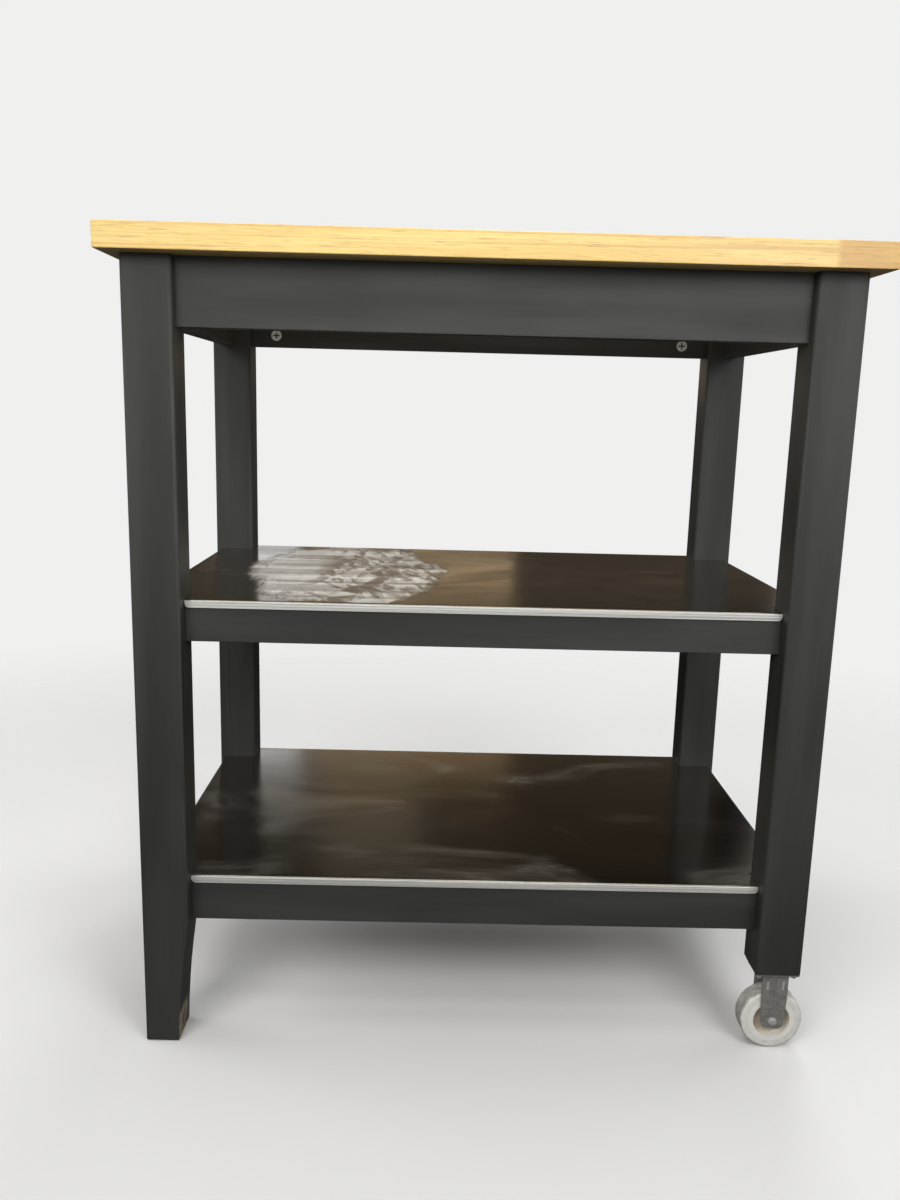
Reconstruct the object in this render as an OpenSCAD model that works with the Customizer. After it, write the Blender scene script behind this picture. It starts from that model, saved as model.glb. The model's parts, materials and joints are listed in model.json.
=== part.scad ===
// Kitchen trolley: a butcher block top on a black wooden frame, with two folded
// steel shelves, two tapered feet at one end and two fixed castors at the other.
// +X runs along the length towards the castors, -Y is the front, z = 0 is the floor.

/* [Worktop] */
// Length of the worktop, along X
top_l = 790; // [760:5:860]
// Width of the worktop, along Y
top_w = 510; // [490:5:560]
// Thickness of the worktop
top_t = 26; // [24:1:36]
// Height of the worktop's upper face above the floor
height = 900; // [880:5:960]
// How far the worktop overhangs the legs at each end
overhang_x = 18; // [10:1:40]
// How far the worktop overhangs the legs at the front and the rear
overhang_y = 26; // [10:1:40]

/* [Legs] */
// Leg section along X
leg_w = 52; // [50:1:60]
// Leg section along Y
leg_d = 48; // [46:1:60]
// Width of the tapered feet at the floor, along X
foot_w = 38; // [30:1:44]
// Height above the floor at which the taper starts
taper_h = 146; // [100:1:146]
// Radius of the hollow curve that the taper follows
taper_r = 1050; // [700:50:2000]
// Radius on the long edges of the legs
leg_edge_r = 3; // [1:0.5:5]

/* [Aprons and rails] */
// Height of the front apron
front_apron_h = 70; // [66:1:90]
// Height of the rear and side aprons
apron_h = 64; // [60:1:90]
// Thickness of the aprons and rails
rail_t = 20; // [18:1:24]
// Distance from the legs' faces back to the front and side aprons
apron_set = 12; // [8:1:16]
// Distance from the legs' rear faces in to the rear apron
rear_apron_set = 7; // [4:1:16]
// Height of the rails under the middle shelf
middle_rail_h = 46; // [42:1:60]
// Height of the rails under the lower shelf
lower_rail_h = 54; // [50:1:54]
// Height of the bearer across the middle of each shelf
bearer_h = 30; // [25:1:40]

/* [Shelves] */
// Height of the middle shelf's upper face
middle_z = 520; // [480:5:560]
// Height of the lower shelf's upper face
lower_z = 200; // [200:5:260]
// Thickness of the steel sheet
sheet_t = 1; // [0.8:0.1:1.5]
// Depth of the folded lips, with the sheet
lip_h = 9; // [8:1:16]
// Outer radius of the folds
fold_r = 2.5; // [2:0.5:4]
// Radius on the lips' lower corners
lip_corner_r = 5; // [1:0.5:6]
// Distance from the legs' front faces back to the front lips
front_lip_set = 16; // [10:1:18]
// Distance from the legs' outer faces in to the side and rear lips
edge_lip_set = 7; // [5:1:10]

/* [Castors] */
// Height from the floor to the underside of the castor legs
castor_h = 98; // [92:1:110]
// Diameter of the wheels
wheel_d = 72; // [66:1:76]
// Width of the tyres
tyre_w = 24; // [20:1:24]
// Clear width between the fork's cheeks
fork_gap = 26; // [26:0.5:28]
// Thickness of the fork's steel
fork_t = 2; // [2:0.5:3]
// Width of the cheeks at the top
cheek_w = 30; // [28:1:31]

/* [Hidden] */
$fn = 96;

// Sides of the frame, as signs along X or Y
LEFT = -1;
RIGHT = 1;
FRONT = -1;
REAR = 1;
ENDS = [-1, 1];

// Levels of the frame
TOP = 0;
MIDDLE = 1;
LOWER = 2;
LEVELS = [TOP, MIDDLE, LOWER];

// Colours
oak = "#dcb36a";
frame_black = "#34352f";
stainless = "#8d8a84";
zinc = "#a9a9a6";
beech = "#d9bd8c";
castor_steel = "#6f6f6b";
rim_white = "#e9e6dd";
tyre_grey = "#a3a29b";
glide_black = "#1b1b1b";

// Frame
cut = 1;             // overshoot of a cutting tool past the face it cuts
slip = 0.1;          // gap all round a glued or pressed piece
under_top_z = height - top_t;
leg_x = top_l / 2 - overhang_x;
leg_y = top_w / 2 - overhang_y;
inner_x = leg_x - leg_w;
inner_y = leg_y - leg_d;
rail_slip = fold_r - sheet_t + slip;   // sets a rail clear of the round inside of a fold
leg_slip = 0.5;      // gap between a shelf and the legs
relief_r = 2;        // relief at the inner corner of a shelf's notch

// Dowel and cam joints
dowel_r = 4;
dowel_l = 40;
dowel_chamfer = 1;
cam_r = 7.5;
cam_l = 12.5;
cam_reach = 34;      // from a rail's end to the centre of its cam
bolt_head_l = 5;
bolt_bore_l = cam_reach + bolt_head_l / 2 + slip;
bolt_bore_r = 4;
bolt_thread_r = 3;
bolt_thread_l = 12;
joint_z = [[826, 856], [488, 507], [162, 184]];   // cam height and dowel height at each level

// Bearer dowels
bearer_w = 20;
bearer_dowel_l = 28;
bearer_dowel_in_rail = 12;

// Worktop brackets and wood screws
bracket_w = 20;
bracket_leg = 22;
bracket_t = 2;
bracket_x = 200;
screw_r = 2;
screw_head_r = 3.9;
screw_head_h = 2.2;
screw_l = 16;
screw_inset = 14;    // from a bracket's corner to its screws

// Feet
glide_r = 12;
glide_h = 4;
glide_proud = 1;
nail_r = 1.25;
nail_l = 12;

// Castors
castor_x = leg_x - leg_w / 2;
castor_out = 3;      // from the middle of a leg out to the middle of its castor
castor_y = leg_y - leg_d / 2 + castor_out;
axle_z = wheel_d / 2;
plate_x = 50;
plate_y = 40;
plate_hole_x = 20;
plate_hole_y = 14;
castor_screw_r = 2.5;
castor_screw_head_r = 4.4;
castor_screw_head_h = 3.5;
castor_screw_l = 26;
cheek_tip_w = 26;
cheek_tip_r = 7;
cheek_below_axle = 9.5;
cheek_taper_z = 66;  // height at which the cheeks start to narrow
rib_w = 2.4;
rib_h = 10;
rib_proud = 1.2;
rib_x = 9;
rib_z = 77;
axle_r = 3;
axle_head_r = 5.2;
axle_head_h = 3;
nut_flats = 10;
nut_h = 5;
bush_r = 4.5;
running_gap = 0.05;  // radial clearance between a wheel and its bush
hub_r = 9;
hub_w = 24;
web_w = 6;
rim_inner_r = 21.3;
rim_outer_r = 27;
rim_w = tyre_w + 0.4;
tread_round = 3;
tyre_gap = 0.05;

// ---- Functions ----

function rail_top_z(level) =
    level == TOP ? under_top_z : (level == MIDDLE ? middle_z : lower_z) - sheet_t;

function rail_h(side, level) =
    level == MIDDLE ? middle_rail_h :
    level == LOWER ? lower_rail_h :
    side == FRONT ? front_apron_h : apron_h;

// Distance from the legs' outer faces in to a long rail's outer face
function long_rail_set(side, level) =
    level == TOP ? (side == FRONT ? apron_set : rear_apron_set)
    : (side == FRONT ? front_lip_set : edge_lip_set) + sheet_t + rail_slip;

// Distance from the legs' outer faces in to a side rail's outer face
function side_rail_set(level) =
    level == TOP ? apron_set : edge_lip_set + sheet_t + rail_slip;

// Middle of a long rail, along Y
function long_rail_y(side, level) = side * (leg_y - long_rail_set(side, level) - rail_t / 2);

// Middle of a side rail, along X
function side_rail_x(side, level) = side * (leg_x - side_rail_set(level) - rail_t / 2);

// Centre of the circle of radius r through two points [x, z], on the side of larger x
function arc_centre(a, b, r) =
    let (chord = b - a, length = norm(chord), away = [chord[1], -chord[0]] / length)
    (a + b) / 2 + away * sqrt(r * r - length * length / 4);

// ---- Helpers ----

// Rod or bore from a point along +X or -X
module rod_x(from, r, l, direction = 1) {
    translate(from)
        rotate([0, direction * 90, 0])
            cylinder(r = r, h = l);
}

// Rod or bore from a point along +Y or -Y
module rod_y(from, r, l, direction = 1) {
    translate(from)
        rotate([-direction * 90, 0, 0])
            cylinder(r = r, h = l);
}

// Rectangle with round corners, lower corner at the origin
module round_rect(w, d, r) {
    translate([r, 0])
        square([w - 2 * r, d]);
    translate([0, r])
        square([w, d - 2 * r]);
    for (x = [r, w - r], y = [r, d - r])
        translate([x, y])
            circle(r = r);
}

// Dowel along +Z, centred on its length
module dowel(l) {
    r = dowel_r - slip;
    straight = l - 2 * dowel_chamfer - 2 * slip;
    cylinder(r = r, h = straight, center = true);
    for (end = [0, 1])
        mirror([0, 0, end])
            translate([0, 0, straight / 2])
                cylinder(r1 = r, r2 = r - dowel_chamfer, h = dowel_chamfer);
}

// Pan head screw pointing up +Z, with its head's seat at z = 0
module screw(r, l, head_r, head_h) {
    cross_w = head_r * 0.3;
    difference() {
        union() {
            cylinder(r = r - slip, h = l - 2 * r);
            translate([0, 0, l - 2 * r])
                cylinder(r1 = r - slip, r2 = 0.3, h = 2 * r);
            translate([0, 0, -head_h])
                cylinder(r1 = head_r * 0.75, r2 = head_r, h = head_h);
        }
        for (turn = [0, 90])
            rotate([0, 0, turn])
                translate([-head_r / 2, -cross_w / 2, -head_h - cut])
                    cube([head_r, cross_w, cut + head_h * 0.6]);
    }
}

// Moves its children from the outer corner of a leg, with +X and +Y pointing in
module at_leg(side_x, side_y) {
    translate([side_x * leg_x, side_y * leg_y, 0])
        mirror([side_x == RIGHT ? 1 : 0, 0, 0])
            mirror([0, side_y == REAR ? 1 : 0, 0])
                children();
}

// ---- Wooden frame ----

// Bores of one leg, in its own corner frame
module leg_bores(side_y) {
    for (level = LEVELS) {
        long_v = long_rail_set(side_y, level) + rail_t / 2;
        side_u = side_rail_set(level) + rail_t / 2;
        rod_x([leg_w + cut, long_v, joint_z[level][0]], bolt_thread_r, bolt_thread_l + cut, -1);
        rod_x([leg_w + cut, long_v, joint_z[level][1]], dowel_r, dowel_l / 2 + cut, -1);
        for (z = joint_z[level])
            rod_y([side_u, leg_d + cut, z], dowel_r, dowel_l / 2 + cut, -1);
    }
}

module leg_blank(bottom_z) {
    translate([0, 0, bottom_z])
        linear_extrude(under_top_z - bottom_z)
            round_rect(leg_w, leg_d, leg_edge_r);
}

// Cylinder that hollows the inner face into a tapered foot
module taper_cut() {
    centre = arc_centre([foot_w, 0], [leg_w, taper_h], taper_r);
    rod_y([centre[0], -cut, centre[1]], taper_r, leg_d + 2 * cut, $fn = 256);
}

// Tapered leg that stands on a glide
module foot_leg(side_y) {
    at_leg(LEFT, side_y)
        difference() {
            leg_blank(glide_proud);
            taper_cut();
            leg_bores(side_y);
            translate([foot_w / 2, leg_d / 2, 0]) {
                cylinder(r = glide_r + slip, h = glide_h + slip);
                cylinder(r = nail_r, h = glide_h + nail_l + slip);
            }
        }
}

// Short leg that stands on a castor
module castor_leg(side_y) {
    at_leg(RIGHT, side_y)
        difference() {
            leg_blank(castor_h);
            leg_bores(side_y);
            for (x = ENDS, y = ENDS)
                translate([
                    leg_w / 2 + x * plate_hole_x,
                    leg_d / 2 - castor_out + y * plate_hole_y,
                    castor_h - cut
                ])
                    cylinder(r = castor_screw_r, h = castor_screw_l + cut);
        }
}

// Apron or rail along X, joined to a leg at each end by a cam bolt and a dowel
module long_rail(side, level) {
    h = rail_h(side, level);
    y = long_rail_y(side, level);
    bottom_z = rail_top_z(level) - h;
    has_bearer = level != TOP;
    difference() {
        translate([-inner_x, y - rail_t / 2, bottom_z])
            cube([2 * inner_x, rail_t, h]);
        for (end = ENDS) {
            rod_x([end * (inner_x + cut), y, joint_z[level][0]], bolt_bore_r, bolt_bore_l + cut, -end);
            rod_x([end * (inner_x + cut), y, joint_z[level][1]], dowel_r, dowel_l / 2 + cut, -end);
            rod_y([end * (inner_x - cam_reach), y - side * (rail_t / 2 + cut), joint_z[level][0]],
                  cam_r, cam_l + slip + cut, side);
        }
        if (has_bearer)
            rod_y([0, y - side * (rail_t / 2 + cut), rail_top_z(level) - bearer_h / 2],
                  dowel_r, bearer_dowel_in_rail + cut, side);
        if (level == TOP)
            for (end = ENDS)
                rod_y([end * bracket_x, y - side * (rail_t / 2 + cut), under_top_z - screw_inset],
                      screw_r, screw_l - bracket_t + cut, side);
    }
}

// Apron or rail along Y, joined to a leg at each end by two dowels
module side_rail(side, level) {
    h = rail_h(REAR, level);
    x = side_rail_x(side, level);
    difference() {
        translate([x - rail_t / 2, -inner_y, rail_top_z(level) - h])
            cube([rail_t, 2 * inner_y, h]);
        for (end = ENDS, z = joint_z[level])
            rod_y([x, end * (inner_y + cut), z], dowel_r, dowel_l / 2 + cut, -end);
        if (level == TOP)
            rod_x([x - side * (rail_t / 2 + cut), 0, under_top_z - screw_inset],
                  screw_r, screw_l - bracket_t + cut, side);
    }
}

// Bearer across a shelf frame, from the front rail to the rear rail
module bearer(level) {
    front_y = long_rail_y(FRONT, level) + rail_t / 2;
    rear_y = long_rail_y(REAR, level) - rail_t / 2;
    z = rail_top_z(level) - bearer_h;
    bore_l = bearer_dowel_l - bearer_dowel_in_rail;
    difference() {
        translate([-bearer_w / 2, front_y, z])
            cube([bearer_w, rear_y - front_y, bearer_h]);
        rod_y([0, front_y - cut, z + bearer_h / 2], dowel_r, bore_l + cut);
        rod_y([0, rear_y + cut, z + bearer_h / 2], dowel_r, bore_l + cut, -1);
    }
}

module worktop() {
    color(oak)
        difference() {
            translate([-top_l / 2, -top_w / 2, under_top_z])
                linear_extrude(top_t)
                    round_rect(top_l, top_w, 2);
            at_brackets()
                translate([0, screw_inset, -cut])
                    cylinder(r = screw_r, h = screw_l - bracket_t + cut);
        }
}

module front_left_leg() { color(frame_black) foot_leg(FRONT); }
module rear_left_leg() { color(frame_black) foot_leg(REAR); }
module front_right_leg() { color(frame_black) castor_leg(FRONT); }
module rear_right_leg() { color(frame_black) castor_leg(REAR); }
module front_apron() { color(frame_black) long_rail(FRONT, TOP); }
module rear_apron() { color(frame_black) long_rail(REAR, TOP); }
module left_apron() { color(frame_black) side_rail(LEFT, TOP); }
module right_apron() { color(frame_black) side_rail(RIGHT, TOP); }
module middle_front_rail() { color(frame_black) long_rail(FRONT, MIDDLE); }
module middle_rear_rail() { color(frame_black) long_rail(REAR, MIDDLE); }
module middle_left_rail() { color(frame_black) side_rail(LEFT, MIDDLE); }
module middle_right_rail() { color(frame_black) side_rail(RIGHT, MIDDLE); }
module lower_front_rail() { color(frame_black) long_rail(FRONT, LOWER); }
module lower_rear_rail() { color(frame_black) long_rail(REAR, LOWER); }
module lower_left_rail() { color(frame_black) side_rail(LEFT, LOWER); }
module lower_right_rail() { color(frame_black) side_rail(RIGHT, LOWER); }
module middle_shelf_bearer() { color(frame_black) bearer(MIDDLE); }
module lower_shelf_bearer() { color(frame_black) bearer(LOWER); }

// ---- Steel shelves ----

// Extrudes an outline in Y and Z along X, centred
module extrude_x(l) {
    translate([-l / 2, 0, 0])
        rotate([90, 0, 90])
            linear_extrude(l)
                children();
}

// Extrudes an outline in X and Z along Y, centred
module extrude_y(l) {
    translate([0, l / 2, 0])
        rotate([90, 0, 0])
            linear_extrude(l)
                children();
}

// Block of a section, from low to high and h down, with its two upper corners round
module round_top(low, high, h, r) {
    translate([low + r, -h])
        square([high - low - 2 * r, h]);
    translate([low, -h])
        square([high - low, h - r]);
    for (x = [low + r, high - r])
        translate([x, -r])
            circle(r = r);
}

// Section of a sheet that is folded down at both sides
module folded_section(low, high) {
    difference() {
        round_top(low, high, lip_h, fold_r);
        translate([0, -sheet_t])
            round_top(low + sheet_t, high - sheet_t, lip_h, fold_r - sheet_t);
    }
}

// Outline of a lip seen from its face, with round lower corners
module lip_outline(half_l) {
    mirror([0, 1])
        intersection() {
            translate([-half_l, -lip_corner_r])
                round_rect(2 * half_l, lip_h + lip_corner_r, lip_corner_r);
            translate([-half_l, 0])
                square([2 * half_l, lip_h]);
        }
}

// Sheet that is notched round the legs, with a lip folded down on each side
module shelf(z) {
    mid_x = inner_x - leg_slip;
    mid_y = inner_y - leg_slip;
    edge_x = leg_x - edge_lip_set;
    front_y = -(leg_y - front_lip_set);
    rear_y = leg_y - edge_lip_set;
    translate([0, 0, z])
        difference() {
            union() {
                intersection() {
                    extrude_x(2 * mid_x)
                        folded_section(front_y, rear_y);
                    extrude_y(2 * leg_y)
                        lip_outline(mid_x);
                }
                intersection() {
                    extrude_y(2 * mid_y)
                        folded_section(-edge_x, edge_x);
                    extrude_x(2 * leg_x)
                        lip_outline(mid_y);
                }
            }
            for (x = ENDS, y = ENDS)
                translate([x * mid_x, y * mid_y, -sheet_t - cut])
                    cylinder(r = relief_r, h = sheet_t + 2 * cut);
        }
}

module middle_shelf() { color(stainless) shelf(middle_z); }
module lower_shelf() { color(stainless) shelf(lower_z); }

// ---- Joint hardware ----

// Places its children at each long rail's end, with +X pointing into the rail
module at_long_rail_ends(height_index) {
    for (side = [FRONT, REAR], level = LEVELS, end = ENDS)
        translate([end * inner_x, long_rail_y(side, level), joint_z[level][height_index]])
            mirror([end == RIGHT ? 1 : 0, 0, 0])
                mirror([0, side == REAR ? 1 : 0, 0])
                    children();
}

// Round cam whose slotted face is flush with the rail's inner face
module cam_lock() {
    face_y = rail_t / 2;
    cross_w = 2;
    cross_l = 9;
    cross_depth = 3;
    difference() {
        rod_y([cam_reach, face_y - cam_l, 0], cam_r - slip, cam_l);
        rod_x([cam_reach - cam_r - cut, 0, 0], bolt_bore_r - 0.4, cam_r + cut + 3.5);
        for (turn = [0, 90])
            translate([cam_reach, face_y - cross_depth, 0])
                rotate([0, turn, 0])
                    translate([-cross_l / 2, 0, -cross_w / 2])
                        cube([cross_l, cross_depth + cut, cross_w]);
    }
}

// Bolt that screws into the leg and hooks into the cam
module cam_bolt() {
    neck_r = 2.4;
    collar_l = 3;
    head_r = 3.3;
    rod_x([-bolt_thread_l + slip, 0, 0], bolt_thread_r - slip, bolt_thread_l);
    rod_x([0, 0, 0], bolt_bore_r - slip, collar_l);
    rod_x([collar_l - slip, 0, 0], neck_r, cam_reach - collar_l);
    rod_x([cam_reach - bolt_head_l / 2, 0, 0], head_r, bolt_head_l);
}

module cam_locks() { color(zinc) at_long_rail_ends(0) cam_lock(); }
module cam_bolts() { color(zinc) at_long_rail_ends(0) cam_bolt(); }

module rail_dowels() {
    color(beech)
        at_long_rail_ends(1)
            rotate([0, 90, 0])
                dowel(dowel_l);
}

module side_dowels() {
    color(beech)
        for (side = [LEFT, RIGHT], level = LEVELS, end = ENDS, z = joint_z[level])
            translate([side_rail_x(side, level), end * inner_y, z])
                rotate([90, 0, 0])
                    dowel(dowel_l);
}

module bearer_dowels() {
    middle = bearer_dowel_l / 2 - bearer_dowel_in_rail;
    color(beech)
        for (side = [FRONT, REAR], level = [MIDDLE, LOWER])
            translate([0, long_rail_y(side, level) - side * (rail_t / 2 + middle),
                       rail_top_z(level) - bearer_h / 2])
                rotate([90, 0, 0])
                    dowel(bearer_dowel_l);
}

// Places its children in each bracket's corner under the worktop, with +Y pointing away from the apron
module at_brackets() {
    for (side = [FRONT, REAR], end = ENDS)
        translate([end * bracket_x, long_rail_y(side, TOP) - side * rail_t / 2, under_top_z])
            rotate([0, 0, side == FRONT ? 0 : 180])
                children();
    for (side = [LEFT, RIGHT])
        translate([side_rail_x(side, TOP) - side * rail_t / 2, 0, under_top_z])
            rotate([0, 0, side * 90])
                children();
}

// Steel angle with one hole in each leg
module bracket() {
    hole_r = screw_r + 0.2;
    difference() {
        union() {
            translate([-bracket_w / 2, 0, -bracket_t])
                cube([bracket_w, bracket_leg, bracket_t]);
            translate([-bracket_w / 2, 0, -bracket_leg])
                cube([bracket_w, bracket_t, bracket_leg]);
        }
        translate([0, screw_inset, -bracket_t - cut])
            cylinder(r = hole_r, h = bracket_t + 2 * cut);
        rod_y([0, -cut, -screw_inset], hole_r, bracket_t + 2 * cut);
    }
}

module top_brackets() { color(zinc) at_brackets() bracket(); }

module top_screws() {
    color(zinc)
        at_brackets()
            translate([0, screw_inset, -bracket_t])
                screw(screw_r, screw_l, screw_head_r, screw_head_h);
}

module apron_screws() {
    color(zinc)
        at_brackets()
            translate([0, bracket_t, -screw_inset])
                rotate([90, 0, 0])
                    screw(screw_r, screw_l, screw_head_r, screw_head_h);
}

// ---- Glides ----

// Nail-on plastic glide, set into the foot
module glide(side_y) {
    at_leg(LEFT, side_y)
        translate([foot_w / 2, leg_d / 2, 0]) {
            cylinder(r1 = glide_r - 1, r2 = glide_r, h = glide_proud);
            translate([0, 0, glide_proud])
                cylinder(r = glide_r, h = glide_h - glide_proud);
            translate([0, 0, glide_h])
                cylinder(r = nail_r - slip, h = nail_l);
        }
}

module front_left_glide() { color(glide_black) glide(FRONT); }
module rear_left_glide() { color(glide_black) glide(REAR); }

// ---- Castors ----

// Places its children on the floor under the middle of a castor
module at_castor(side_y) {
    translate([castor_x, side_y * castor_y, 0])
        children();
}

// Outline of a cheek, with x across and y up
module cheek_outline() {
    top_z = castor_h - fork_t / 2;
    tip_z = axle_z - cheek_below_axle;
    polygon([
        [-cheek_w / 2, top_z],
        [-cheek_w / 2, cheek_taper_z],
        [-cheek_tip_w / 2, tip_z + cheek_tip_r],
        [cheek_tip_w / 2, tip_z + cheek_tip_r],
        [cheek_w / 2, cheek_taper_z],
        [cheek_w / 2, top_z],
    ]);
    translate([-cheek_tip_w / 2 + cheek_tip_r, tip_z])
        square([cheek_tip_w - 2 * cheek_tip_r, cheek_tip_r + cut]);
    for (side = ENDS)
        translate([side * (cheek_tip_w / 2 - cheek_tip_r), tip_z + cheek_tip_r])
            circle(r = cheek_tip_r);
}

// Cheek on one side of the wheel, with its two pressed ribs
module cheek(side_y) {
    outer_y = fork_gap / 2 + fork_t;
    mirror([0, side_y == REAR ? 0 : 1, 0]) {
        translate([0, outer_y, 0])
            rotate([90, 0, 0])
                linear_extrude(fork_t)
                    cheek_outline();
        for (side = ENDS)
            translate([side * rib_x - rib_w / 2, outer_y - cut, rib_z])
                cube([rib_w, rib_proud + cut, rib_h]);
    }
}

module castor_fork(side_y) {
    outer = fork_gap + 2 * fork_t + 4 * cut;
    at_castor(side_y)
        difference() {
            union() {
                translate([-plate_x / 2, -plate_y / 2, castor_h - fork_t])
                    cube([plate_x, plate_y, fork_t]);
                for (cheek_side = [FRONT, REAR])
                    cheek(cheek_side);
            }
            rod_y([0, -outer / 2, axle_z], axle_r + slip, outer);
            for (x = ENDS, y = ENDS)
                translate([x * plate_hole_x, y * plate_hole_y, castor_h - fork_t - cut])
                    cylinder(r = castor_screw_r + 0.2, h = fork_t + 2 * cut);
        }
}

module castor_screws(side_y) {
    at_castor(side_y)
        for (x = ENDS, y = ENDS)
            translate([x * plate_hole_x, y * plate_hole_y, castor_h - fork_t])
                screw(castor_screw_r, castor_screw_l, castor_screw_head_r, castor_screw_head_h);
}

// Axle bolt, with its round head at the front
module castor_axle(side_y) {
    front_y = -(fork_gap / 2 + fork_t);
    shank_l = fork_gap + 2 * fork_t + nut_h + 1;
    at_castor(side_y) {
        rod_y([0, front_y, axle_z], axle_head_r, axle_head_h / 2, -1);
        translate([0, front_y - axle_head_h / 2, axle_z])
            rotate([90, 0, 0])
                cylinder(r1 = axle_head_r, r2 = axle_head_r * 0.6, h = axle_head_h / 2);
        rod_y([0, front_y, axle_z], axle_r - slip / 2, shank_l);
    }
}

module castor_nut(side_y) {
    at_castor(side_y)
        difference() {
            rod_y([0, fork_gap / 2 + fork_t, axle_z], nut_flats / sqrt(3), nut_h, $fn = 6);
            rod_y([0, fork_gap / 2, axle_z], axle_r, nut_h + 2 * fork_t);
        }
}

// Steel tube that the cheeks clamp and the wheel turns on
module castor_bush(side_y) {
    half = fork_gap / 2 - slip;
    at_castor(side_y)
        difference() {
            rod_y([0, -half, axle_z], bush_r, 2 * half);
            rod_y([0, -half - cut, axle_z], axle_r + slip / 2, 2 * (half + cut));
        }
}

// Plastic centre with a hub, a thin web and a rim
module wheel_core(side_y) {
    at_castor(side_y)
        translate([0, 0, axle_z])
            rotate([90, 0, 0])
                rotate_extrude()
                    polygon([
                        [bush_r + running_gap, -hub_w / 2],
                        [hub_r, -hub_w / 2],
                        [hub_r, -web_w / 2],
                        [rim_inner_r, -web_w / 2],
                        [rim_inner_r, -rim_w / 2],
                        [rim_outer_r - tyre_gap, -rim_w / 2],
                        [rim_outer_r - tyre_gap, rim_w / 2],
                        [rim_inner_r, rim_w / 2],
                        [rim_inner_r, web_w / 2],
                        [hub_r, web_w / 2],
                        [hub_r, hub_w / 2],
                        [bush_r + running_gap, hub_w / 2],
                    ]);
}

// Rubber tyre with round shoulders
module wheel_tyre(side_y) {
    tread_r = wheel_d / 2;
    at_castor(side_y)
        translate([0, 0, axle_z])
            rotate([90, 0, 0])
                rotate_extrude() {
                    translate([rim_outer_r, -tyre_w / 2])
                        square([tread_r - tread_round - rim_outer_r, tyre_w]);
                    translate([tread_r - tread_round, -tyre_w / 2 + tread_round])
                        square([tread_round, tyre_w - 2 * tread_round]);
                    for (side = ENDS)
                        translate([tread_r - tread_round, side * (tyre_w / 2 - tread_round)])
                            circle(r = tread_round);
                }
}

module front_castor_fork() { color(castor_steel) castor_fork(FRONT); }
module front_castor_screws() { color(zinc) castor_screws(FRONT); }
module front_castor_axle() { color(zinc) castor_axle(FRONT); }
module front_castor_nut() { color(zinc) castor_nut(FRONT); }
module front_castor_bush() { color(zinc) castor_bush(FRONT); }
module front_wheel_core() { color(rim_white) wheel_core(FRONT); }
module front_wheel_tyre() { color(tyre_grey) wheel_tyre(FRONT); }
module rear_castor_fork() { color(castor_steel) castor_fork(REAR); }
module rear_castor_screws() { color(zinc) castor_screws(REAR); }
module rear_castor_axle() { color(zinc) castor_axle(REAR); }
module rear_castor_nut() { color(zinc) castor_nut(REAR); }
module rear_castor_bush() { color(zinc) castor_bush(REAR); }
module rear_wheel_core() { color(rim_white) wheel_core(REAR); }
module rear_wheel_tyre() { color(tyre_grey) wheel_tyre(REAR); }

// ---- Nodes ----

worktop();
front_left_leg();
rear_left_leg();
front_right_leg();
rear_right_leg();
front_apron();
rear_apron();
left_apron();
right_apron();
middle_front_rail();
middle_rear_rail();
middle_left_rail();
middle_right_rail();
lower_front_rail();
lower_rear_rail();
lower_left_rail();
lower_right_rail();
middle_shelf_bearer();
lower_shelf_bearer();
middle_shelf();
lower_shelf();
cam_locks();
cam_bolts();
rail_dowels();
side_dowels();
bearer_dowels();
top_brackets();
top_screws();
apron_screws();
front_left_glide();
rear_left_glide();
front_castor_fork();
front_castor_screws();
front_castor_axle();
front_castor_nut();
front_castor_bush();
front_wheel_core();
front_wheel_tyre();
rear_castor_fork();
rear_castor_screws();
rear_castor_axle();
rear_castor_nut();
rear_castor_bush();
rear_wheel_core();
rear_wheel_tyre();
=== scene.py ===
"""Looks of a butcher block kitchen trolley: procedural oak, black paint, brushed steel and castors."""
import json
from math import cos, radians, sin

import bpy
from mathutils import Matrix, Vector

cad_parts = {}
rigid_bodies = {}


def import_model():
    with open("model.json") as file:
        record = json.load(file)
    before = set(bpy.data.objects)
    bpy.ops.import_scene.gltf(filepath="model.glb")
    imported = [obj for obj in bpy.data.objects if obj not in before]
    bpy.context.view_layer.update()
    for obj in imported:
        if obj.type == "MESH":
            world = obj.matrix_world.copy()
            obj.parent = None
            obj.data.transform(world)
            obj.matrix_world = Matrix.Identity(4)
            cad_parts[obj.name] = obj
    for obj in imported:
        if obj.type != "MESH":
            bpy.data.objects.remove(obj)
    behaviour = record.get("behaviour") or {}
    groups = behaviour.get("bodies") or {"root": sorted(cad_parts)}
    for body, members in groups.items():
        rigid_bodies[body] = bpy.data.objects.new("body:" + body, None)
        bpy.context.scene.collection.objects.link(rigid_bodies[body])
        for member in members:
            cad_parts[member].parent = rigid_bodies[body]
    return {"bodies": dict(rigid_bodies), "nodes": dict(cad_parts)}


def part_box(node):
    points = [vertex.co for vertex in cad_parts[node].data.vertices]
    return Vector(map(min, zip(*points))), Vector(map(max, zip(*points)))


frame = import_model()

NODES = frame["nodes"]
MM = 0.001

# Default objects of a new file aren't part of the object
for extra in list(bpy.data.objects):
    if extra not in NODES.values() and extra not in frame["bodies"].values():
        bpy.data.objects.remove(extra)
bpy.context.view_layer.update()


# ---- Shader graphs ----

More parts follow.
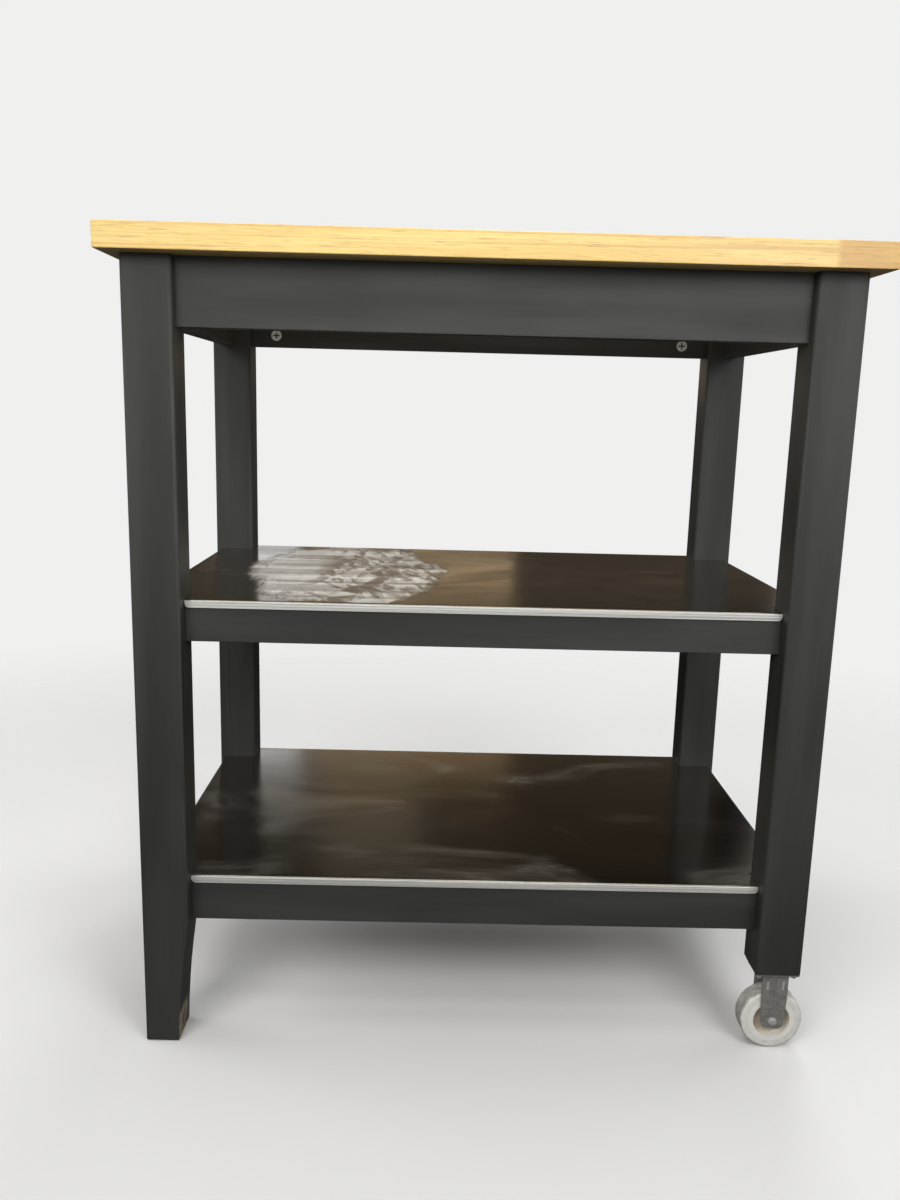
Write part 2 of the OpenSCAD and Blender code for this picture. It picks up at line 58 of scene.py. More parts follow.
class Graph:
    """A material's node tree, with short calls for the nodes that the materials share."""

    def __init__(self, name):
        self.material = bpy.data.materials.new(name)
        self.material.use_nodes = True
        self.tree = self.material.node_tree
        self.tree.nodes.clear()
        self.shader = self.tree.nodes.new("ShaderNodeBsdfPrincipled")
        self.output = self.tree.nodes.new("ShaderNodeOutputMaterial")
        self.tree.links.new(self.shader.outputs["BSDF"], self.output.inputs["Surface"])
        self.place = self.tree.nodes.new("ShaderNodeTexCoord").outputs["Object"]

    def node(self, kind, inputs, **settings):
        made = self.tree.nodes.new("ShaderNode" + kind)
        for key, value in settings.items():
            setattr(made, key, value)
        for key, value in inputs.items():
            self.feed(made.inputs[key], value)
        return made

    def feed(self, socket, value):
        if isinstance(value, bpy.types.NodeSocket):
            self.tree.links.new(value, socket)
        else:
            socket.default_value = value

    def math(self, operation, a, b=0.0, clamp=False):
        return self.node("Math", {0: a, 1: b}, operation=operation, use_clamp=clamp).outputs[0]

    def axes(self, vector=None):
        made = self.node("SeparateXYZ", {0: vector or self.place})
        return [made.outputs[i] for i in range(3)]

    def join(self, x, y, z):
        return self.node("CombineXYZ", {0: x, 1: y, 2: z}).outputs[0]

    def stretch(self, scale, turn=0.0, vector=None):
        """The place in metres, turned about Z and multiplied by scale on each axis."""
        turned = self.node("VectorRotate", {"Vector": vector or self.place, "Angle": turn},
                           rotation_type="Z_AXIS").outputs[0] if turn else vector or self.place
        return self.node("VectorMath", {0: turned, 1: scale}, operation="MULTIPLY").outputs[0]

    def noise(self, vector, scale=1.0, detail=3.0, rough=0.5, warp=0.0):
        return self.node("TexNoise", {"Vector": vector, "Scale": scale, "Detail": detail,
                                      "Roughness": rough, "Distortion": warp}).outputs["Fac"]

    def random(self, vector):
        return self.node("TexWhiteNoise", {"Vector": vector}, noise_dimensions="3D")

    def cells(self, vector):
        return self.node("TexVoronoi", {"Vector": vector}, voronoi_dimensions="2D")

    def cell_edge(self, cells):
        """Distance from the border of the cells, for the same cells."""
        vector = cells.inputs["Vector"].links[0].from_socket
        return self.node("TexVoronoi", {"Vector": vector}, voronoi_dimensions="2D",
                         feature="DISTANCE_TO_EDGE").outputs["Distance"]

    def remap(self, value, low, high, to_low=0.0, to_high=1.0):
        return self.node("MapRange", {"Value": value, "From Min": low, "From Max": high,
                                      "To Min": to_low, "To Max": to_high},
                         interpolation_type="SMOOTHSTEP").outputs["Result"]

    def mix(self, factor, a, b, blend="MIX"):
        made = self.tree.nodes.new("ShaderNodeMix")
        made.data_type = "RGBA"
        made.blend_type = blend
        self.feed(made.inputs[0], factor)
        self.feed(made.inputs[6], a)
        self.feed(made.inputs[7], b)
        return made.outputs[2]

    def bump(self, height, strength, distance, normal=None):
        inputs = {"Height": height, "Strength": strength, "Distance": distance}
        if normal:
            inputs["Normal"] = normal
        return self.node("Bump", inputs).outputs[0]

    def edges(self, radius, low=0.02, high=0.25):
        """1 along the sharp edges and 0 on the faces."""
        soft = self.node("Bevel", {"Radius": radius}, samples=6).outputs[0]
        true = self.tree.nodes.new("ShaderNodeNewGeometry").outputs["Normal"]
        same = self.node("VectorMath", {0: soft, 1: true}, operation="DOT_PRODUCT").outputs["Value"]
        return self.remap(self.math("SUBTRACT", 1.0, same), low, high)

    def set(self, **values):
        names = {"color": "Base Color", "rough": "Roughness", "metal": "Metallic", "normal": "Normal",
                 "specular": "Specular IOR Level"}
        for key, value in values.items():
            self.feed(self.shader.inputs[names[key]], value)
        return self.material


def rgb(r, g, b):
    return (r, g, b, 1.0)


# ---- Wood ----

def oak_staves():
    """Edge-glued staves that run along X, each with its own tone and its own grain."""
    stave_w, stave_l, rows = 42.5 * MM, 0.42, 12
    browner_from_x = 0.333
    low, high = (Vector(corner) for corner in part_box("worktop"))
    g = Graph("oak_staves")
    x, y, _ = g.axes()
    across = g.math("DIVIDE", g.math("SUBTRACT", y, low.y - 0.1 * MM), stave_w)
    row = g.math("MINIMUM", g.math("FLOOR", across), rows - 1)
    row_random = g.random(g.join(row, 3.0, 7.0)).outputs["Value"]
    from_end = g.math("DIVIDE", g.math("SUBTRACT", x, low.x), stave_l)
    along = g.math("ADD", from_end, g.math("MULTIPLY", row_random, 5.0))
    # The front stave turns browner to the right of a given x
    behind_front = g.math("GREATER_THAN", row, 0.5)
    browner_right_end = g.math("SUBTRACT", g.remap(x, browner_from_x - 4 * MM, browner_from_x + 4 * MM), behind_front, True)
    piece = g.math("MULTIPLY", g.math("FLOOR", along), behind_front)
    stave = g.random(g.join(row, piece, 1.0))
    tone = stave.outputs["Value"]

    shift = g.node("VectorMath", {0: stave.outputs["Color"], 1: (4.0, 4.0, 4.0)},
                   operation="MULTIPLY").outputs[0]
    own = g.node("VectorMath", {0: g.place, 1: shift}, operation="ADD").outputs[0]
    bands = g.noise(g.stretch((2.2, 42.0, 42.0), vector=own), detail=3.0, warp=0.6)
    fibre = g.noise(g.stretch((14.0, 520.0, 520.0), vector=own), detail=4.0, rough=0.65)
    pores = g.noise(g.stretch((55.0, 1100.0, 1100.0), vector=own), detail=2.0)
    growth = g.noise(g.stretch((2.0, 400.0, 400.0), vector=own), detail=2.0)
    flecks = g.noise(g.stretch((26.0, 640.0, 640.0), vector=own), detail=1.0)

    color = g.mix(g.remap(bands, 0.3, 0.7), rgb(0.87, 0.70, 0.29), rgb(0.77, 0.565, 0.21))
    color = g.mix(g.math("MULTIPLY", browner_right_end, 0.85), color, rgb(0.58, 0.36, 0.12))
    fibre_color = g.mix(browner_right_end, rgb(0.64, 0.43, 0.17), rgb(0.4, 0.22, 0.07))
    color = g.mix(g.remap(fibre, 0.38, 0.72, 0.0, 0.55), color, fibre_color)
    color = g.mix(g.remap(growth, 0.5, 0.66, 0.0, 0.75), color, rgb(0.62, 0.40, 0.16))
    color = g.mix(g.remap(pores, 0.58, 0.74, 0.0, 0.4), color, rgb(0.32, 0.17, 0.06))
    color = g.mix(g.remap(flecks, 0.62, 0.72, 0.0, 0.6), color, rgb(0.48, 0.25, 0.13))
    color = g.mix(g.remap(tone, 0.1, 1.0, 0.0, 0.34), color, rgb(0.5, 0.29, 0.1))

    # Glue lines between the rows and at the staves' ends
    near_row = g.math("PINGPONG", across, 0.5)
    near_end = g.math("PINGPONG", along, 0.5)
    row_line = g.remap(near_row, 0.004, 0.012, 1.0, 0.0)
    end_line = g.math("MULTIPLY", g.remap(near_end, 0.0004, 0.0012, 1.0, 0.0), behind_front)
    # The outer faces aren't glue lines
    inside = g.remap(g.math("ABSOLUTE", y), high.y - 2.5 * MM, high.y - 2 * MM, 1.0, 0.0)
    glue = g.math("MULTIPLY", g.math("MAXIMUM", row_line, end_line), inside)
    color = g.mix(g.math("MULTIPLY", glue, 0.55), color, rgb(0.2, 0.1, 0.035))

    # Painted highlight: the arrises are painted a paler oak colour
    color = g.mix(g.math("MULTIPLY", g.edges(1.5 * MM), 0.45), color, rgb(0.9, 0.76, 0.4))

    wear = g.noise(g.stretch((5.0, 9.0, 9.0)), detail=4.0)
    relief = g.math("ADD", g.math("MULTIPLY", fibre, 0.5), g.math("MULTIPLY", pores, -0.5))
    relief = g.math("SUBTRACT", relief, g.math("MULTIPLY", glue, 0.6))
    return g.set(color=color, rough=g.remap(wear, 0.3, 0.7, 0.36, 0.54), specular=0.4,
                 normal=g.bump(relief, 0.35, 0.25 * MM))


def black_paint(name, axis, worn_foot=False):
    """Satin black paint over wood whose grain, along one axis, just shows through."""
    slow, fast = 5.0, 240.0
    scale = [slow if i == axis else fast for i in range(3)]
    wide = [slow * 0.6 if i == axis else fast * 0.12 for i in range(3)]
    g = Graph(name)
    grain = g.noise(g.stretch(scale), detail=4.0, rough=0.6)
    streak = g.noise(g.stretch(wide), detail=3.0, warp=0.3)
    cloud = g.noise(g.stretch((6.0, 6.0, 6.0)), detail=3.0)
    color = g.mix(g.remap(streak, 0.3, 0.72), rgb(0.031, 0.0325, 0.029), rgb(0.05, 0.0515, 0.046))
    color = g.mix(g.remap(grain, 0.5, 0.8, 0.0, 0.35), color, rgb(0.021, 0.022, 0.0195))

    edge = g.edges(1.6 * MM)
    patchy = g.noise(g.stretch((40.0, 40.0, 40.0)), detail=3.0)
    rubbed = g.math("MULTIPLY", edge, g.remap(patchy, 0.35, 0.7, 0.08, 0.4))
    color = g.mix(rubbed, color, rgb(0.17, 0.17, 0.15))
    chips = g.noise(g.stretch((170.0, 170.0, 150.0)), detail=2.0)
    chip = g.math("MULTIPLY", edge, g.remap(chips, 0.70, 0.73))
    color = g.mix(g.math("MULTIPLY", chip, 0.8), color, rgb(0.46, 0.36, 0.22))
    if worn_foot:
        # Scuffed inner side of the tapered feet
        _, _, z = g.axes()
        facing = g.axes(g.tree.nodes.new("ShaderNodeNewGeometry").outputs["Normal"])[0]
        scuff = g.math("MULTIPLY", g.remap(z, 30 * MM, 42 * MM, 1.0, 0.0), g.remap(facing, 0.6, 0.9))
        ragged = g.remap(g.noise(g.stretch((90.0, 90.0, 40.0)), detail=4.0), 0.34, 0.58, 0.2, 1.0)
        color = g.mix(g.math("MULTIPLY", scuff, ragged), color, rgb(0.46, 0.38, 0.27))
    relief = g.math("SUBTRACT", g.math("ADD", grain, g.math("MULTIPLY", streak, 0.6)), chip)
    return g.set(color=color, rough=g.remap(cloud, 0.3, 0.7, 0.38, 0.52), specular=0.6,
                 normal=g.bump(relief, 0.3, 0.2 * MM))


def plain_beech():
    g = Graph("beech")
    grain = g.noise(g.stretch((90.0, 300.0, 90.0)), detail=3.0)
    color = g.mix(g.remap(grain, 0.3, 0.7), rgb(0.66, 0.47, 0.27), rgb(0.5, 0.32, 0.17))
    return g.set(color=color, rough=0.65, normal=g.bump(grain, 0.3, 0.1 * MM))


# ---- Metal ----

def brushed_steel(name, film=False):
    """Stainless sheet brushed along X, with smudges, scratches and, if asked, a creased film."""
    node = "middle_shelf" if film else "lower_shelf"
    low, high = (Vector(corner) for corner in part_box(node))
    g = Graph(name)
    x, y, z = g.axes()
    fine = g.noise(g.stretch((7.0, 1500.0, 1500.0)), detail=3.0, rough=0.7)
    coarse = g.noise(g.stretch((1.6, 190.0, 190.0)), detail=3.0)
    smudge = g.noise(g.stretch((4.5, 8.0, 8.0)), detail=5.0, rough=0.6, warp=0.8)
    warm_reflection = g.noise(g.stretch((3.0, 4.0, 4.0)), detail=2.0, warp=0.4)

    scratch = 0.0
    for turn, gate in ((0.5, 0.77), (-0.8, 0.78), (1.3, 0.79)):
        lines = g.noise(g.stretch((9.0, 700.0, 9.0), turn), detail=1.0)
        scratch = g.math("MAXIMUM", scratch, g.remap(lines, gate, gate + 0.03))

    # Painted reflection: warm brown clouds in the steel's colour stand for the room it reflects
    color = g.mix(g.remap(warm_reflection, 0.35, 0.65), rgb(0.47, 0.45, 0.42), rgb(0.45, 0.38, 0.29))
    color = g.mix(g.remap(smudge, 0.48, 0.72, 0.0, 0.7), color, rgb(0.72, 0.68, 0.6))
    color = g.mix(g.remap(coarse, 0.3, 0.7, 0.0, 0.25), color, rgb(0.3, 0.28, 0.26))
    rough = g.math("ADD", g.remap(smudge, 0.3, 0.75, 0.14, 0.25), g.remap(fine, 0.2, 0.8, -0.03, 0.05))
    relief = g.math("ADD", g.math("MULTIPLY", fine, 0.5), g.math("MULTIPLY", scratch, -0.8))
    normal = g.bump(relief, 0.16, 0.06 * MM)

    # Painted reflection and highlight: the folded lips are painted paler, with a painted highlight along the
    # fold
    facing = g.axes(g.tree.nodes.new("ShaderNodeNewGeometry").outputs["Normal"])[2]
    outer = 0.0
    for along, face in ((x, low.x), (x, high.x), (y, low.y), (y, high.y)):
        inward = g.math("ABSOLUTE", g.math("SUBTRACT", along, face))
        outer = g.math("MAXIMUM", outer, g.remap(inward, 2 * MM, 3 * MM, 1.0, 0.0))
    lip = g.math("MULTIPLY", g.remap(g.math("ABSOLUTE", facing), 0.3, 0.7, 1.0, 0.0), outer)
    fold_highlight = g.math("MULTIPLY", lip, g.remap(z, high.z - 2.2 * MM, high.z - 1.6 * MM))
    drawn = g.remap(g.noise(g.stretch((2.0, 900.0, 1400.0)), detail=2.0), 0.35, 0.65)
    lip_painted_sheen = g.mix(drawn, rgb(0.42, 0.42, 0.4), rgb(0.78, 0.78, 0.75))
    color = g.mix(g.math("MULTIPLY", lip, 0.9), color, g.mix(fold_highlight, lip_painted_sheen, rgb(0.98, 0.98, 0.95)))
    dull = g.math("MULTIPLY", lip, 0.75)

    if film:
        # Film left on the sheet, lifted and creased into facets
        middle_x, half_w, half_d = -0.17, 0.115, 0.25
        wave = g.noise(g.stretch((22.0, 6.0, 1.0)), detail=3.0)
        bend = g.math("MULTIPLY", g.math("SUBTRACT", wave, 0.5), 1.8)
        across = g.math("POWER", g.math("DIVIDE", g.math("SUBTRACT", x, middle_x), half_w), 2.0)
        back = g.math("POWER", g.math("DIVIDE", y, half_d), 2.0)
        reach = g.math("ADD", g.math("ADD", across, back), bend)
        behind_lip = g.remap(y, low.y + 3 * MM, low.y + 6 * MM)
        cover = g.math("MULTIPLY", g.remap(reach, 0.8, 1.12, 1.0, 0.0), behind_lip)
        wander = g.node("TexNoise", {"Vector": g.place, "Scale": 7.0, "Detail": 2.0}).outputs["Color"]
        pushed = g.node("VectorMath", {0: wander, 1: (0.01, 0.03, 0.0), 2: g.place},
                        operation="MULTIPLY_ADD").outputs[0]
        large = g.cells(g.stretch((11.0, 3.0, 0.0), 0.25, pushed))
        small = g.cells(g.stretch((30.0, 8.0, 0.0), -0.3, pushed))
        facet = g.mix(0.45, large.outputs["Color"], small.outputs["Color"])
        # Painted shade: each facet is painted lighter or darker, as if turned to or from the light
        facet_tilt_and_shade = g.math("POWER", g.axes(facet)[0], 1.4)
        crease = g.math("MINIMUM", g.cell_edge(large), g.cell_edge(small))
        # Painted sheen: the film's left part, where it lies flatter, is painted paler
        flat = g.remap(x, middle_x - 0.05, middle_x + 0.01, 0.85, 0.0)
        sheen = g.math("MULTIPLY", cover, g.math("MAXIMUM", flat, g.remap(facet_tilt_and_shade, 0.12, 0.6, 0.26, 0.95)))
        # Painted highlights along the creases
        bright = g.math("MAXIMUM", sheen, g.math("MULTIPLY", cover, g.remap(crease, 0.0, 0.03, 0.85, 0.0)))
        streak = g.noise(g.stretch((1.5, 70.0, 1.0)), detail=3.0)
        bright = g.math("MULTIPLY", bright, g.remap(streak, 0.36, 0.6, 0.55, 1.0))
        color = g.mix(bright, color, rgb(0.95, 0.94, 0.9))
        rough = g.math("ADD", rough, g.math("MULTIPLY", cover, 0.1))
        tilt = g.math("ADD", facet_tilt_and_shade, g.remap(crease, 0.0, 0.08, 0.5, 0.0))
        normal = g.bump(g.math("MULTIPLY", tilt, cover), 0.5, 1.2 * MM, normal)
        dull = g.math("MAXIMUM", dull, g.math("MULTIPLY", bright, 0.85))
    else:
        dull = g.math("MAXIMUM", dull, g.remap(smudge, 0.5, 0.75, 0.0, 0.12))
    return g.set(color=color, metal=g.math("SUBTRACT", 1.0, dull), rough=rough, normal=normal)


def plated(name, light, dark, rough, metal):
    """Zinc plate with dull blotches, and painted highlights along its edges."""
    g = Graph(name)
    blotch = g.noise(g.stretch((120.0, 120.0, 120.0)), detail=5.0, rough=0.6)
    speck = g.noise(g.stretch((900.0, 900.0, 900.0)), detail=2.0)
    color = g.mix(g.remap(blotch, 0.35, 0.68), rgb(*light), rgb(*dark))
    # Painted highlight along the edges
    color = g.mix(g.math("MULTIPLY", g.edges(0.6 * MM), 0.5), color, rgb(0.7, 0.69, 0.66))
    return g.set(color=color, metal=metal, rough=g.remap(blotch, 0.3, 0.7, rough, rough + 0.16),
                 normal=g.bump(speck, 0.15, 0.05 * MM))


def cam_lock_zinc():
    """Pale die-cast zinc, with painted shade in the driver's cross recess."""
    lock_l = 12.5 * MM
    # The locks reach from the rails' inner faces, where the recess is, to the ends of the box
    g = Graph("cam_lock_zinc")
    _, y, _ = g.axes()
    face_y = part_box("cam_locks")[1][1] - lock_l
    recess_shade = g.remap(g.math("ABSOLUTE", y), face_y + 0.2 * MM, face_y + 0.5 * MM)
    cast = g.noise(g.stretch((300.0, 300.0, 300.0)), detail=4.0)
    color = g.mix(g.remap(cast, 0.35, 0.65), rgb(0.92, 0.91, 0.88), rgb(0.74, 0.73, 0.7))
    # Painted shade, dark brown, in the cross recess
    color = g.mix(recess_shade, color, rgb(0.09, 0.06, 0.04))
    return g.set(color=color, metal=0.2, rough=0.4, normal=g.bump(cast, 0.2, 0.1 * MM))


def fork_steel(node):
    """Dull pressed steel, with painted highlights on the two ribs of each cheek and along its edges."""
    low, high = (Vector(corner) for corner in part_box(node))
    middle = (low + high) / 2
    cheek_face, plate_z = 15 * MM, high.z - 3 * MM
    g = Graph(node + "_steel")
    _, y, z = g.axes()
    out = g.math("ABSOLUTE", g.math("SUBTRACT", y, middle.y))
    rib_highlight = g.math("MULTIPLY", g.remap(out, cheek_face + 0.4 * MM, cheek_face + 1.0 * MM),
                 g.math("LESS_THAN", z, plate_z))
    blotch = g.noise(g.stretch((150.0, 150.0, 150.0)), detail=5.0, rough=0.65)
    speck = g.noise(g.stretch((900.0, 900.0, 900.0)), detail=2.0)
    color = g.mix(g.remap(blotch, 0.35, 0.68), rgb(0.36, 0.36, 0.34), rgb(0.25, 0.245, 0.22))
    # Painted highlight along the edges
    color = g.mix(g.math("MULTIPLY", g.edges(0.6 * MM), 0.6), color, rgb(0.7, 0.69, 0.66))
    # Painted highlight on the ribs
    color = g.mix(rib_highlight, color, rgb(0.66, 0.65, 0.63))
    return g.set(color=color, metal=0.4, rough=g.remap(blotch, 0.3, 0.7, 0.34, 0.5),
                 normal=g.bump(speck, 0.15, 0.05 * MM))


# ---- Wheels and feet ----

def radius_from_axle(g, node):
    """Distance from a wheel's axle, which runs along Y through the middle of the node."""
    low, high = (Vector(corner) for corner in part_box(node))
    middle = (low + high) / 2
    x, _, z = g.axes()
    off_x = g.math("SUBTRACT", x, middle.x)
    off_z = g.math("SUBTRACT", z, middle.z)
    squares = g.math("ADD", g.math("POWER", off_x, 2.0), g.math("POWER", off_z, 2.0))
    return g.math("SQRT", squares)


def wheel_plastic(node):
    """Off-white rim, with the recess round the hub painted tan: partly dust, partly painted shade."""
    g = Graph(node + "_plastic")
    radius = radius_from_axle(g, node)
    dust = g.noise(g.stretch((160.0, 160.0, 160.0)), detail=4.0, rough=0.6)
    recess = g.remap(radius, 20.6 * MM, 21.6 * MM, 1.0, 0.0)
    dust_and_shade = g.math("MULTIPLY", recess, g.remap(dust, 0.25, 0.65, 0.55, 1.0))
    color = g.mix(g.remap(dust, 0.4, 0.75, 0.0, 0.4), rgb(0.93, 0.91, 0.86), rgb(0.82, 0.79, 0.72))
    # Dust and painted shade in the recess round the hub
    color = g.mix(dust_and_shade, color, rgb(0.62, 0.53, 0.4))
    return g.set(color=color, rough=g.remap(dust, 0.3, 0.7, 0.38, 0.55), normal=g.bump(dust, 0.1, 0.1 * MM))


def tyre_rubber(node):
    """Grey rubber, scuffed and dirtier on the tread."""
    g = Graph(node + "_rubber")
    radius = radius_from_axle(g, node)
    scuff = g.noise(g.stretch((130.0, 130.0, 130.0)), detail=5.0, rough=0.65)
    lint = g.noise(g.stretch((600.0, 300.0, 600.0)), detail=2.0)
    tread = g.remap(radius, 34.5 * MM, 35.8 * MM, 0.0, 0.55)
    color = g.mix(g.remap(scuff, 0.3, 0.7), rgb(0.88, 0.875, 0.83), rgb(0.74, 0.73, 0.68))
    color = g.mix(g.math("MULTIPLY", tread, g.remap(scuff, 0.3, 0.6)), color, rgb(0.26, 0.24, 0.21))
    color = g.mix(g.remap(lint, 0.66, 0.74, 0.0, 0.4), color, rgb(0.52, 0.5, 0.46))
    return g.set(color=color, rough=g.remap(scuff, 0.3, 0.7, 0.55, 0.75), specular=0.3,
                 normal=g.bump(scuff, 0.25, 0.25 * MM))


def glide_plastic():
    g = Graph("glide_plastic")
    rub = g.noise(g.stretch((260.0, 260.0, 260.0)), detail=3.0)
    color = g.mix(g.remap(rub, 0.4, 0.7), rgb(0.02, 0.02, 0.02), rgb(0.06, 0.058, 0.055))
    return g.set(color=color, rough=0.5, normal=g.bump(rub, 0.2, 0.1 * MM))


# ---- Carried-over CAD nodes ----

def soften(node, width, segments=2):
    """Breaks the sharp edges of a CAD node with modifiers."""
    thing = NODES[node]
    weld = thing.modifiers.new("weld", "WELD")
    weld.merge_threshold = 0.001 * MM
    flat = thing.modifiers.new("flat", "DECIMATE")
    flat.decimate_type = "DISSOLVE"
    flat.angle_limit = radians(0.5)
    bevel = thing.modifiers.new("edge", "BEVEL")
    bevel.width = width
    bevel.segments = segments
    bevel.limit_method = "ANGLE"
    bevel.angle_limit = radians(50)
    bevel.use_clamp_overlap = False
    bevel.harden_normals = True


def dress(material, *nodes):
    for node in nodes:
        NODES[node].material_slots[0].material = material


def dress_all():
    along_x = black_paint("black_paint_along_x", 0)
    along_y = black_paint("black_paint_along_y", 1)
    along_z = black_paint("black_paint_along_z", 2)
    feet = black_paint("black_paint_feet", 2, worn_foot=True)
    zinc = plated("zinc", (0.66, 0.66, 0.64), (0.46, 0.46, 0.44), 0.28, 0.5)
    beech, glide = plain_beech(), glide_plastic()

    dress(oak_staves(), "worktop")
    dress(brushed_steel("steel_with_film", film=True), "middle_shelf")
    dress(brushed_steel("steel"), "lower_shelf")
    for node in NODES:
        if node.endswith("_left_leg"):
            dress(feet, node)
        elif node.endswith("_right_leg"):
            dress(along_z, node)
        elif node in ("front_apron", "rear_apron") or node.endswith(("front_rail", "rear_rail")):
            dress(along_x, node)
        elif node.endswith(("_apron", "_rail", "_bearer")):
            dress(along_y, node)
        elif node.endswith("dowels"):
            dress(beech, node)
        elif node.endswith("glide"):
            dress(glide, node)
        elif node.endswith("castor_fork"):
            dress(fork_steel(node), node)
        elif node.endswith("wheel_core"):
            dress(wheel_plastic(node), node)
        elif node.endswith("wheel_tyre"):
            dress(tyre_rubber(node), node)
        elif node == "cam_locks":
            dress(cam_lock_zinc(), node)
        elif node not in ("worktop", "middle_shelf", "lower_shelf"):
            dress(zinc, node)
        if node.endswith(("_leg", "_apron", "_rail", "_bearer")):
            soften(node, 0.8 * MM)
        if node.endswith("castor_fork"):
            soften(node, 0.3 * MM)
    soften("worktop", 1.2 * MM, 3)


# ---- Studio ----

def floor():
    """Pale floor, in metres, that fades into the surroundings away from the object."""
    half, solid, gone = 8.0, 0.7, 2.1
    mesh = bpy.data.meshes.new("floor")
    corners = [(-half, -half, 0), (half, -half, 0), (half, half, 0), (-half, half, 0)]
    mesh.from_pydata(corners, [], [(0, 1, 2, 3)])
    plane = bpy.data.objects.new("floor", mesh)
    bpy.context.scene.collection.objects.link(plane)
    g = Graph("floor")
    tone = g.noise(g.place, scale=1.5, detail=2.0)
    mesh.materials.append(g.set(color=g.mix(tone, rgb(0.84, 0.84, 0.83), rgb(0.87, 0.87, 0.86)), rough=0.8))
    away = g.node("VectorMath", {0: g.place}, operation="LENGTH").outputs["Value"]
    fade = g.node("MixShader", {0: g.remap(away, solid, gone), 1: g.shader.outputs["BSDF"]})
    clear = g.tree.nodes.new("ShaderNodeBsdfTransparent")
    g.tree.links.new(clear.outputs["BSDF"], fade.inputs[2])
    g.tree.links.new(fade.outputs["Shader"], g.output.inputs["Surface"])
    # The soft lamp under the floor stands in for its bounce, and the paint doesn't mirror the floor
    plane.visible_diffuse = False
    plane.visible_shadow = False
    plane.visible_glossy = False


def softbox(name, place, target, size, watts, color=(1.0, 1.0, 1.0), spread=180, shiny=True):
    """Soft lamp that the camera doesn't see, and that reflections show only if it is shiny."""
    light = bpy.data.lights.new(name, "AREA")
    light.shape = "RECTANGLE"
    light.size, light.size_y = size
    light.energy = watts
    light.color = color
    light.spread = radians(spread)
    lamp = bpy.data.objects.new(name, light)
    lamp.location = place
    lamp.rotation_euler = (Vector(target) - Vector(place)).to_track_quat("-Z", "Y").to_euler()
    lamp.visible_camera = False
    lamp.visible_glossy = shiny
    bpy.context.scene.collection.objects.link(lamp)


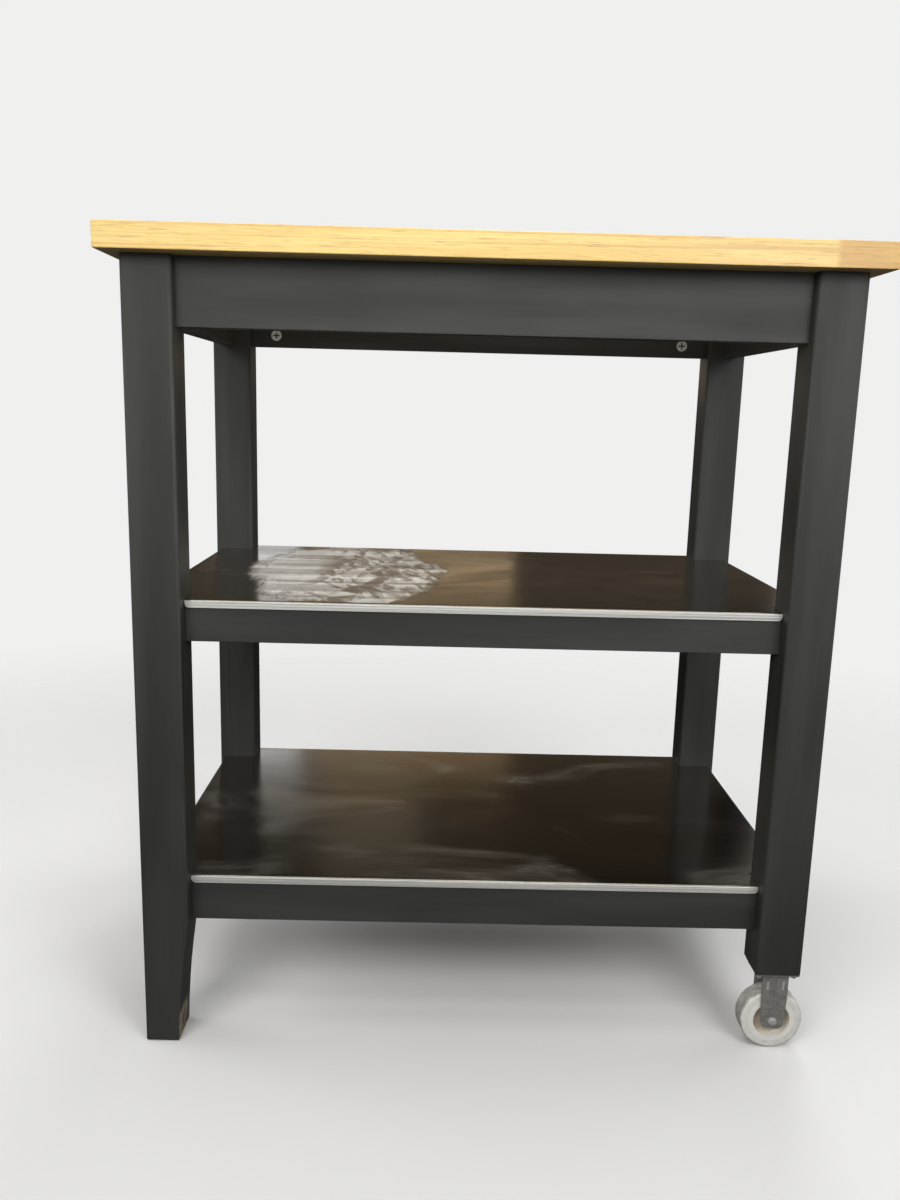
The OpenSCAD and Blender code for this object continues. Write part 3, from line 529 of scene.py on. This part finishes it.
def studio():
    world = bpy.data.worlds.new("studio")
    world.use_nodes = True
    world.node_tree.nodes["Background"].inputs["Color"].default_value = rgb(0.87, 0.87, 0.865)
    # The softboxes light the object, and its reflections show them and not the pale surroundings
    world.cycles_visibility.diffuse = False
    world.cycles_visibility.glossy = False
    bpy.context.scene.world = world
    middle = (0.0, 0.0, 0.6)
    wall_out, corner_x, wall_z, wall_h = 2.6, 1.95, 1.05, 1.9
    softbox("key", (-0.9, -1.6, 1.4), (-0.15, -0.25, 0.98), (1.0, 0.7), 7.8, (1.0, 0.98, 0.94), 105, False)
    softbox("fill", (0.85, -1.4, 1.3), (0.25, -0.25, 0.95), (0.8, 0.6), 5.4, spread=100, shiny=False)
    softbox("overhead", (0.0, 0.0, 2.8), middle, (2.6, 2.0), 28)
    softbox("strip", (0.0, -1.5, 2.6), (0.0, -0.2, 0.3), (2.6, 0.5), 10)
    # Part of the front light isn't reflected, so the steel isn't washed out from behind
    for name, watts, shiny in (("front", 8, True), ("front_fill", 10, False)):
        softbox(name, (0.25, -2.6, 1.25), (0.0, 0.0, 0.9), (2.4, 0.9), watts, shiny=shiny)
    softbox("card", (0.0, -2.6, 0.18), (0.0, 0.0, 0.3), (3.0, 0.36), 1.0, (0.97, 1.0, 0.98))
    softbox("inner", (0.0, -0.14, 0.62), (0.0, 0.22, 0.85), (0.6, 0.2), 0.5, shiny=False)
    softbox("left", (-2.3, 0.2, 1.5), middle, (1.2, 1.0), 14, shiny=False)
    softbox("right", (2.3, 0.6, 1.5), middle, (1.2, 1.0), 8, shiny=False)
    # Dim walls, so that the steel isn't black from the sides and corners
    for name, x in (("left_wall", -wall_out), ("right_wall", wall_out)):
        softbox(name, (x, 0.0, wall_z), (0.0, 0.0, wall_z), (2 * wall_out, wall_h), 8)
    for name, x, y in (("left_rear_wall", -corner_x, wall_out), ("right_rear_wall", corner_x, wall_out),
                       ("left_front_wall", -corner_x, -wall_out), ("right_front_wall", corner_x, -wall_out)):
        softbox(name, (x, y, wall_z), (x, 0.0, wall_z), (1.3, wall_h), 2)
    softbox("rear", (0.6, 2.3, 2.3), middle, (1.6, 1.0), 36, shiny=False)
    softbox("bounce", (0.0, 0.0, -0.7), middle, (4.0, 4.0), 4.6, (1.0, 0.97, 0.92))
    # Dim warm panels behind, which the two shelves reflect
    for name, x, z, size, watts, color in (
            ("window_panel", -0.74, 0.96, (0.28, 0.26), 0.26, (0.96, 0.98, 1.0)),
            ("upper_panel", -0.16, 0.935, (0.8, 0.22), 0.27, (1.0, 0.74, 0.44)),
            ("upper_wide_panel", 0.1, 0.94, (2.6, 0.22), 0.2, (1.0, 0.80, 0.58)),
            ("lower_panel", -0.32, 1.38, (0.4, 0.45), 0.055, (1.0, 0.88, 0.68)),
            ("lower_wide_panel", 0.0, 1.33, (2.2, 0.55), 0.16, (1.0, 0.80, 0.55))):
        softbox(name, (x, wall_out, z), (x, 0.0, z - 0.6), size, watts, color)
    bpy.context.scene.view_settings.view_transform = "Standard"


def camera():
    """The photograph's viewpoint: a phone held in front of the table, a little left of its middle."""
    yaw, pitch, roll = radians(0.640), radians(10.857), radians(1.468)
    focal, frame_h, sensor = 993.2, 1200.0, 36.0
    forward = Vector((sin(yaw), cos(yaw), 0.0))
    level = Vector((cos(yaw), -sin(yaw), 0.0))
    up = Vector((0.0, 0.0, 1.0))
    sight = cos(pitch) * forward - sin(pitch) * up
    above = sin(pitch) * forward + cos(pitch) * up
    right = cos(roll) * level + sin(roll) * above
    top = -sin(roll) * level + cos(roll) * above
    lens = bpy.data.cameras.new("camera")
    lens.sensor_width = sensor
    lens.lens = focal / frame_h * sensor
    eye = bpy.data.objects.new("camera", lens)
    eye.matrix_world = Matrix.Translation((-0.0493, -1.2673, 0.7283)) @ \
        Matrix((right, top, -sight)).transposed().to_4x4()
    bpy.context.scene.collection.objects.link(eye)
    bpy.context.scene.camera = eye


camera()
dress_all()
floor()
studio()
